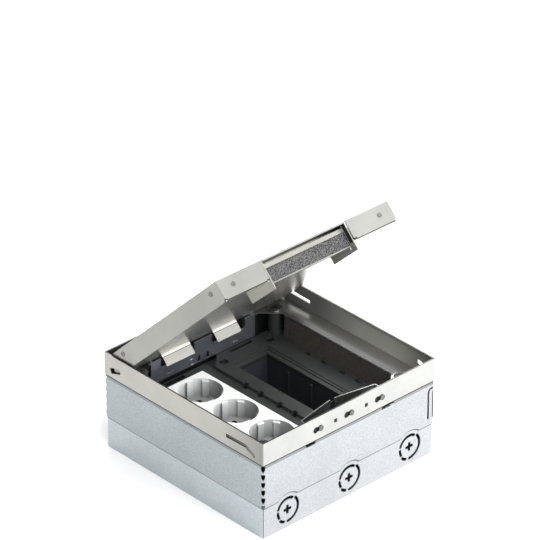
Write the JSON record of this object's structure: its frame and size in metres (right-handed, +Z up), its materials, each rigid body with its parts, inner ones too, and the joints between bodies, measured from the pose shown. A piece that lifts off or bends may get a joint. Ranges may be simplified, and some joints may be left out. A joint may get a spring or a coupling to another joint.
{
  "type": "floor socket box",
  "caption": "Square floor box that levels on corner screws, with a hinged inlay lid, a flap with foam for cords, a strip of mains sockets and a bay for data modules.",
  "frame": {"origin": "centre of the underside of the lower box", "axes": "+Z up, +Y towards the lid's hinge, +X to the right seen from the cord outlet side"},
  "size_m": [0.2, 0.2009, 0.2251],
  "materials": {
    "galvanised_steel": "spangled galvanised sheet",
    "stainless_steel": "fine brushed",
    "zinc_plate": "dark passivated sheet",
    "bright_zinc": "bright zinc plate",
    "dark_moulding": "fine texture",
    "white_moulding": "semi-gloss",
    "brass": "plain",
    "grey_foam": "open cell"
  },
  "bodies": {
    "base": {"base_box": "galvanised_steel", "device_insert": "dark_moulding", "insert_screws": "bright_zinc", "post_sleeves": "brass", "bay_tray": "dark_moulding", "strip_carrier": "dark_moulding", "socket_front_1": "white_moulding", "socket_front_2": "white_moulding", "socket_front_3": "white_moulding", "earth_clips": "brass", "pin_sleeves": "brass", "terminal_blocks": "white_moulding", "earth_stud": "bright_zinc", "earth_nut": "brass"},
    "frame": {"cassette_frame": "stainless_steel", "height_sleeve": "galvanised_steel", "hinge_plate": "zinc_plate", "hinge_rivets": "bright_zinc", "hinge_studs": "bright_zinc", "guard_bracket": "zinc_plate", "guard_wings": "zinc_plate", "guard_studs": "bright_zinc", "level_collars": "bright_zinc"},
    "level_screw_1": {"levelling_screw_1": "zinc_plate"},
    "level_screw_2": {"levelling_screw_2": "zinc_plate"},
    "level_screw_3": {"levelling_screw_3": "zinc_plate"},
    "level_screw_4": {"levelling_screw_4": "zinc_plate"},
    "lid": {"lid_tray": "stainless_steel", "lid_base_plate": "galvanised_steel", "lid_brackets": "galvanised_steel", "hinge_doublers": "galvanised_steel", "lid_rivets": "bright_zinc", "outlet_bracket": "galvanised_steel"},
    "flap": {"cord_flap": "stainless_steel", "foam_frame": "galvanised_steel", "foam_strip": "grey_foam", "flap_pin": "bright_zinc"}
  },
  "joints": [
    {"name": "height_slide", "type": "slide", "parent": "base", "child": "frame", "axis": [0, 0, 1], "range_m": [0, 0.025]},
    {"name": "lid_hinge", "type": "hinge", "parent": "frame", "child": "lid", "pos_m": [0, 0.09, 0.09], "axis": [-1, 0, 0], "range_deg": [-44.5, 65.5]},
    {"name": "flap_hinge", "type": "hinge", "parent": "lid", "child": "flap", "pos_m": [0, -0.01417, 0.19629], "axis": [-1, 0, 0], "range_deg": [0, 90]},
    {"name": "level_screw_1_turn", "type": "hinge", "parent": "frame", "child": "level_screw_1", "pos_m": [-0.0788, -0.0782, 0.075], "axis": [0, 0, 1], "continuous": true},
    {"name": "level_screw_2_turn", "type": "hinge", "parent": "frame", "child": "level_screw_2", "pos_m": [0.0788, -0.0782, 0.075], "axis": [0, 0, 1], "continuous": true},
    {"name": "level_screw_3_turn", "type": "hinge", "parent": "frame", "child": "level_screw_3", "pos_m": [0.0788, 0.0782, 0.075], "axis": [0, 0, 1], "continuous": true},
    {"name": "level_screw_4_turn", "type": "hinge", "parent": "frame", "child": "level_screw_4", "pos_m": [-0.0788, 0.0782, 0.075], "axis": [0, 0, 1], "continuous": true}
  ],
  "couplings": [
    {"joint": "level_screw_1_turn", "follows": "height_slide", "rad_per_m": 6283.2},
    {"joint": "level_screw_2_turn", "follows": "height_slide", "rad_per_m": 6283.2},
    {"joint": "level_screw_3_turn", "follows": "height_slide", "rad_per_m": 6283.2},
    {"joint": "level_screw_4_turn", "follows": "height_slide", "rad_per_m": 6283.2}
  ]
}
